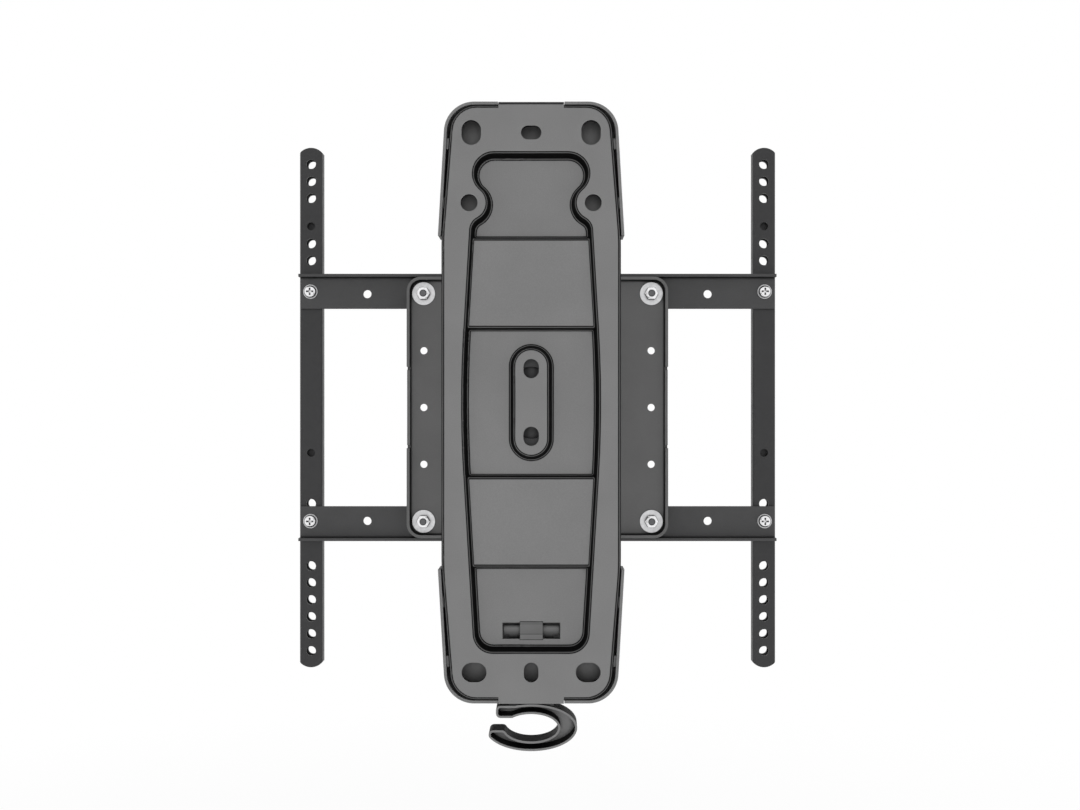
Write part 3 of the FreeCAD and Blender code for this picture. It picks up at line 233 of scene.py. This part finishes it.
def parts_of(tree, output):
    """The X, Y and Z of one of the part's own coordinates."""
    place = tree.nodes.new("ShaderNodeTexCoord")
    split = tree.nodes.new("ShaderNodeSeparateXYZ")
    tree.links.new(place.outputs[output], split.inputs["Vector"])
    return split.outputs


def toned(tree, source, tones):
    """A number between 0 and 1 brought onto a row of places and their tones."""
    node = tree.nodes.new("ShaderNodeValToRGB")
    stops = node.color_ramp.elements
    while len(stops) < len(tones):
        stops.new(0.5)
    for stop, (place, tone) in zip(stops, tones):
        stop.position = place
        stop.color = (tone, tone, tone, 1.0)
    tree.links.new(source, node.inputs["Fac"])
    return node.outputs["Color"]


def flatness(tree):
    """1 on flats that lie along the wall, 0 on walls square to it."""
    return maths(tree, "ABSOLUTE", parts_of(tree, "Normal")["Y"])


def painted_bend_shade(tree, tones=BEND_SHADE_TONES):
    """Painted shade on all that stands out of the flat, with a painted highlight line in the bends."""
    return toned(tree, flatness(tree), tones)


def painted_side_shade(tree):
    """Painted shade on steep sides alone."""
    return toned(tree, flatness(tree), SIDE_SHADE_TONES)


def painted_hook_shade(tree):
    """Painted bend shade on the hook, with painted bands of shade on its foot."""
    place = parts_of(tree, "Object")
    height = spread(tree, place["Z"], 0.0, 1.0, FOOT_LOW, FOOT_HIGH)
    across = maths(tree, "ABSOLUTE", place["X"])
    beside = spread(tree, across, 0.0, 1.0, FOOT_TONGUE, FOOT_TONGUE + FOOT_BLEND)
    foot = tree.nodes.new("ShaderNodeMix")
    tree.links.new(beside, foot.inputs["Factor"])
    tree.links.new(toned(tree, height, FOOT_TONGUE_SHADE_TONES), foot.inputs["A"])
    tree.links.new(toned(tree, height, FOOT_SIDE_SHADE_TONES), foot.inputs["B"])
    ring = spread(tree, place["Z"], 1.0, 0.0, RING_TOP, RING_TOP + RING_BLEND)
    bands = maths(tree, "MAXIMUM", foot.outputs["Result"], ring)
    return maths(tree, "MULTIPLY", painted_bend_shade(tree), bands)


def painted_press_shade(tree):
    """Painted shade on the drawn panel's walls and bends, with a painted highlight line in the bends, but
    the plate's side flanges stay much as they are.
    """
    place = parts_of(tree, "Object")
    aside = spread(tree, maths(tree, "ABSOLUTE", place["X"]), 0.0, 1.0, PANEL_REACH, FLANGE_REACH)
    flange = spread(tree, place["Y"], 0.0, FLANGE_TONE, BEND_REACH, FLANGE_START)
    bends = painted_bend_shade(tree, PRESS_SHADE_TONES)
    return maths(tree, "MAXIMUM", bends, maths(tree, "MULTIPLY", aside, flange))


def painted_form_shade(tree, shader, colour, form, floor):
    """Paints shade on the walls of a shaped piece by darkening its colour and its gloss, by no more than
    down to a floor.
    """
    if form is None:
        socket(shader, "Specular IOR Level", GLOSS)
        return colour
    tone = spread(tree, form(tree), floor, 1.0, 0.0, 1.0)
    tree.links.new(spread(tree, tone, 0.0, GLOSS, 0.0, 1.0), shader.inputs["Specular IOR Level"])
    return scaled(tree, colour, tone)


def bump(tree, shader, source, strength, depth):
    """Fine relief along a noise."""
    node = tree.nodes.new("ShaderNodeBump")
    socket(node, "Strength", strength)
    socket(node, "Distance", depth)
    tree.links.new(source, node.inputs["Height"])
    tree.links.new(node.outputs["Normal"], shader.inputs["Normal"])


def grey(level, blue=0.0):
    """A grey, with a little more blue where that is given."""
    return level, level, level + blue


def shade(colour, factor):
    """A darker or lighter tint of a colour."""
    return tuple(part * factor for part in colour)


def powder_coat(name, colour, roughness, form=None, floor=0.0):
    """Satin powder coat: an even colour with a faint cloud, fine speckle and orange peel, and painted shade
    in creases and on the walls of shaped pieces.
    """
    material, tree, shader = new_material(name)
    cloud = ramp(tree, noise(tree, scale=26.0, detail=4.0), shade(colour, 0.95), shade(colour, 1.05))
    speckle = spread(tree, noise(tree, scale=1900.0, detail=2.0), low=0.94, high=1.06)
    # Painted shade: darker on the walls of a shaped piece and in creases
    coat = painted_form_shade(tree, shader, scaled(tree, cloud, speckle), form, floor)
    tree.links.new(painted_crease_shade(tree, coat, depth=0.2), shader.inputs["Base Color"])
    sheen = spread(tree, noise(tree, scale=140.0), low=roughness - 0.05, high=roughness + 0.05)
    tree.links.new(sheen, shader.inputs["Roughness"])
    bump(tree, shader, noise(tree, scale=1300.0, detail=2.0), strength=0.16, depth=0.00008)
    return material


def moulded_plastic(name, colour, roughness, form=None, depth=0.15, reach=CREASE_SHADE_REACH):
    """Matt moulded plastic with a spark-eroded grain, and painted shade in creases and on the walls of
    shaped pieces.
    """
    material, tree, shader = new_material(name)
    cloud = ramp(tree, noise(tree, scale=60.0), shade(colour, 0.92), shade(colour, 1.08))
    # Painted shade: darker on the walls of a shaped piece and in creases
    skin = painted_form_shade(tree, shader, cloud, form, PLASTIC_SHADE_FLOOR)
    tree.links.new(painted_crease_shade(tree, skin, depth, reach), shader.inputs["Base Color"])
    sheen = spread(tree, noise(tree, scale=420.0), low=roughness - 0.06, high=roughness + 0.06)
    tree.links.new(sheen, shader.inputs["Roughness"])
    bump(tree, shader, noise(tree, scale=2200.0, detail=2.0), strength=0.25, depth=0.00006)
    return material


def plated_steel(name, colour, roughness, form=None):
    """Zinc plated steel with faint spangle and turning marks, and painted shade in creases and on steep
    sides where given.
    """
    material, tree, shader = new_material(name)
    spangle = ramp(tree, noise(tree, scale=500.0, detail=4.0), shade(colour, 0.86), colour)
    # Painted shade: darker on steep sides and in narrow creases
    skin = painted_form_shade(tree, shader, spangle, form, STEEL_SHADE_FLOOR)
    clear = painted_crease_shade(tree, skin, depth=0.02, reach=STEEL_CREASE_SHADE_REACH, start=0.45, end=0.8)
    tree.links.new(clear, shader.inputs["Base Color"])
    socket(shader, "Metallic", 1.0)
    marks = noise(tree, scale=300.0, stretch=(1.0, 6.0, 1.0))
    sheen = spread(tree, marks, low=roughness - 0.06, high=roughness + 0.08)
    tree.links.new(sheen, shader.inputs["Roughness"])
    bump(tree, shader, noise(tree, scale=1800.0, detail=2.0), strength=0.1, depth=0.00003)
    return material


MATERIALS = {
    "plate_paint": powder_coat("plate_paint", grey(0.17), roughness=0.5, form=painted_press_shade, floor=0.03),
    "arm_paint": powder_coat("arm_paint", grey(0.045, 0.001), roughness=0.45),
    "head_paint": powder_coat("head_paint", grey(0.134), roughness=0.5, form=painted_bend_shade, floor=0.1),
    "bar_paint": powder_coat("bar_paint", grey(0.058, 0.001), roughness=0.48, form=painted_bend_shade, floor=0.3),
    "rail_paint": powder_coat("rail_paint", grey(0.033, 0.001), roughness=0.48),
    # Deep painted shade inside the covers, reaching far into them
    "cover_plastic": moulded_plastic(
        "cover_plastic", grey(0.155), roughness=0.5, depth=0.65, reach=COVER_CREASE_SHADE_REACH
    ),
    "hook_plastic": moulded_plastic("hook_plastic", grey(0.17), roughness=0.5, form=painted_hook_shade),
    "nylon": moulded_plastic("nylon", grey(0.02), roughness=0.4),
    "pivot_steel": plated_steel("pivot_steel", grey(0.42, 0.01), roughness=0.38),
    "washer_steel": plated_steel("washer_steel", grey(0.76, 0.01), roughness=0.34),
    "zinc_steel": plated_steel("zinc_steel", grey(0.93, 0.01), roughness=0.22, form=painted_side_shade),
    "bolt_steel": plated_steel("bolt_steel", grey(0.16, 0.005), roughness=0.4, form=painted_side_shade),
}

# Nodes that look unlike the rest of their slot
OWN_FINISH = {"plate_bolts": "bolt_steel", "upper_bar": "bar_paint", "lower_bar": "bar_paint"}

# Nodes whose sharp edges are softened
SOFT_EDGED = (
    "pivot_bracket",
    "inner_arm_tube",
    "outer_arm_tube",
    "elbow_plates",
    "swivel_yoke",
    "tilt_bracket",
)


def dress(node, material):
    """Gives a CAD node its material, softened edges and smooth round faces."""
    node.data.materials.clear()
    node.data.materials.append(material)
    node.data.polygons.foreach_set("use_smooth", [True] * len(node.data.polygons))
    merge = node.modifiers.new("merge", "WELD")
    merge.merge_threshold = MERGE_REACH
    if node.name in SOFT_EDGED:
        bevel = node.modifiers.new("edges", "BEVEL")
        bevel.width = EDGE_ROUND
        bevel.segments = 2
        bevel.limit_method = "ANGLE"
        bevel.angle_limit = SMOOTH_ANGLE
    split = node.modifiers.new("sharp", "EDGE_SPLIT")
    split.split_angle = SMOOTH_ANGLE
    even = node.modifiers.new("even", "WEIGHTED_NORMAL")
    even.weight = NORMAL_WEIGHT


def weld_seams(barrel, tube, way):
    """The two upright seams where a tube, which leaves along way, meets its barrel."""
    low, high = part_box(barrel)
    tube_low, tube_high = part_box(tube)
    half = (tube_high[0] - tube_low[0]) / 2
    radius = (high[0] - low[0]) / 2
    out = math.sqrt(radius ** 2 - half ** 2) + WELD_SINK
    y = (low[1] + high[1]) / 2 + way * out
    for side in (-1, 1):
        x = side * (half + WELD_SINK)
        yield Vector((x, y, tube_low[2] + TUBE_ROUND)), Vector((x, y, tube_high[2] - TUBE_ROUND))


def weld_bead(start, end, points, faces):
    """Adds a rippled bead from start to end, closed and thin at both ends."""
    way = end - start
    across = way.orthogonal().normalized()
    over = way.cross(across).normalized()
    rings = round(way.length / WELD_PITCH) * RINGS_A_RIPPLE
    first = len(points)
    for ring in range(rings + 1):
        ripple = abs(math.sin(math.pi * ring / RINGS_A_RIPPLE))
        taper = min(1.0, WELD_END + min(ring, rings - ring) / RINGS_A_RIPPLE)
        radius = WELD_RADIUS * taper * (1.0 - WELD_RIPPLE + WELD_RIPPLE * ripple)
        middle = start + way * (ring / rings)
        for step in range(WELD_SIDES):
            turn = 2 * math.pi * step / WELD_SIDES
            points.append(middle + radius * (math.cos(turn) * across + math.sin(turn) * over))
    for ring in range(rings):
        base = first + ring * WELD_SIDES
        for step in range(WELD_SIDES):
            after = (step + 1) % WELD_SIDES
            faces.append((base + step, base + after, base + WELD_SIDES + after, base + WELD_SIDES + step))
    last = first + rings * WELD_SIDES
    faces.append(tuple(range(first + WELD_SIDES - 1, first - 1, -1)))
    faces.append(tuple(range(last, last + WELD_SIDES)))


def welds(name, body, seams):
    """The weld beads along some seams of one body."""
    points = []
    faces = []
    for start, end in seams:
        weld_bead(start, end, points, faces)
    mesh = bpy.data.meshes.new(name)
    mesh.from_pydata(points, [], faces)
    mesh.polygons.foreach_set("use_smooth", [True] * len(mesh.polygons))
    mesh.materials.append(MATERIALS["arm_paint"])
    piece = bpy.data.objects.new(name, mesh)
    bpy.context.scene.collection.objects.link(piece)
    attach(piece, body)


def seen_directly(tree):
    """1 for rays that see a surface straight, in a reflection or through glass."""
    path = tree.nodes.new("ShaderNodeLightPath")
    seen = maths(tree, "MAXIMUM", path.outputs["Is Camera Ray"], path.outputs["Is Glossy Ray"])
    return maths(tree, "MAXIMUM", seen, path.outputs["Is Transmission Ray"])


def floor_glow(tree):
    """How white the floor looks by itself: it keeps the shadow near the part and is plain white far off."""
    place = tree.nodes.new("ShaderNodeTexCoord")
    away = tree.nodes.new("ShaderNodeVectorMath")
    away.operation = "LENGTH"
    tree.links.new(place.outputs["Object"], away.inputs[0])
    return spread(tree, away.outputs["Value"], FLOOR_GLOW, 1.0, FLOOR_SHADE_REACH, FLOOR_WHITE_REACH)


def white_floor():
    """A pale floor well under the part that looks white and keeps the shadow."""
    low = cad_box[0][2] - FLOOR_DROP
    bpy.ops.mesh.primitive_plane_add(size=FLOOR_SIZE, location=(0.0, FLOOR_MIDDLE, low))
    floor = bpy.context.object
    floor.name = "floor"
    material, tree, shader = new_material("floor_white")
    tree.nodes.remove(shader)
    diffuse = tree.nodes.new("ShaderNodeBsdfDiffuse")
    socket(diffuse, "Color", (*grey(FLOOR_GREY), 1.0))
    glow = tree.nodes.new("ShaderNodeEmission")
    socket(glow, "Strength", 1.0)
    mix = tree.nodes.new("ShaderNodeMixShader")
    white = maths(tree, "MULTIPLY", seen_directly(tree), floor_glow(tree))
    tree.links.new(white, mix.inputs["Fac"])
    tree.links.new(diffuse.outputs["BSDF"], mix.inputs[1])
    tree.links.new(glow.outputs["Emission"], mix.inputs[2])
    tree.links.new(mix.outputs["Shader"], tree.nodes["Material Output"].inputs["Surface"])
    floor.data.materials.append(material)


def soft_world():
    """White where it is seen and a low grey fill as light."""
    world = bpy.data.worlds.new("studio")
    bpy.context.scene.world = world
    world.use_nodes = True
    tree = world.node_tree
    fill = tree.nodes["Background"]
    socket(fill, "Color", (1.0, 1.0, 1.0, 1.0))
    socket(fill, "Strength", WORLD_FILL)
    white = tree.nodes.new("ShaderNodeBackground")
    socket(white, "Color", (1.0, 1.0, 1.0, 1.0))
    socket(white, "Strength", 1.0)
    mix = tree.nodes.new("ShaderNodeMixShader")
    tree.links.new(seen_directly(tree), mix.inputs["Fac"])
    tree.links.new(fill.outputs["Background"], mix.inputs[1])
    tree.links.new(white.outputs["Background"], mix.inputs[2])
    tree.links.new(mix.outputs["Shader"], tree.nodes["World Output"].inputs["Surface"])


def soft_box(name, place, width, height, power):
    """A studio lamp that looks at the part. Metal shows the white background and not the lamp."""
    light = bpy.data.lights.new(name, "AREA")
    light.shape = "RECTANGLE"
    light.size = width
    light.size_y = height
    light.energy = power
    lamp = bpy.data.objects.new(name, light)
    bpy.context.scene.collection.objects.link(lamp)
    lamp.location = place
    lamp.visible_glossy = False
    way = Vector(LAMP_TARGET) - Vector(place)
    lamp.rotation_euler = way.to_track_quat("-Z", "Y").to_euler()


def photo_camera():
    """The photograph's camera, square on to the wall plate from the wall side."""
    data = bpy.data.cameras.new("camera")
    data.sensor_fit = "HORIZONTAL"
    data.sensor_width = SENSOR_WIDTH
    data.lens = SENSOR_WIDTH / 2 / math.tan(FIELD_OF_VIEW / 2)
    data.shift_x = (PHOTO_WIDTH / 2 - OPTICAL_CENTRE[0]) / PHOTO_WIDTH
    data.shift_y = (OPTICAL_CENTRE[1] - PHOTO_HEIGHT / 2) / PHOTO_WIDTH
    data.clip_start = 0.01
    data.clip_end = 50.0
    camera = bpy.data.objects.new("camera", data)
    bpy.context.scene.collection.objects.link(camera)
    camera.location = CAMERA_PLACE
    camera.rotation_euler = (math.radians(90), 0.0, 0.0)
    bpy.context.scene.camera = camera


for part in frame["record"]["subparts"]:
    name = part["node"]
    finish = OWN_FINISH.get(name, part["material_slot"])
    dress(frame["nodes"][name], MATERIALS[finish])

welds("inner_arm_welds", "inner_arm", weld_seams("wall_knuckle", "inner_arm_tube", 1))
elbow_seams = list(weld_seams("elbow_knuckle", "outer_arm_tube", 1))
head_seams = list(weld_seams("head_knuckle", "outer_arm_tube", -1))
welds("outer_arm_welds", "outer_arm", elbow_seams + head_seams)

white_floor()
soft_world()
soft_box("front", (0.0, -2.1, 0.0), width=0.9, height=0.9, power=32.0)
soft_box("right", (2.0, 0.5, 0.7), width=0.9, height=1.2, power=14.0)
soft_box("left", (-2.0, 0.4, 0.5), width=0.9, height=1.2, power=12.0)
soft_box("room", (0.6, 2.5, 1.0), width=1.4, height=1.2, power=36.0)
photo_camera()

bpy.context.scene.view_settings.view_transform = "Standard"
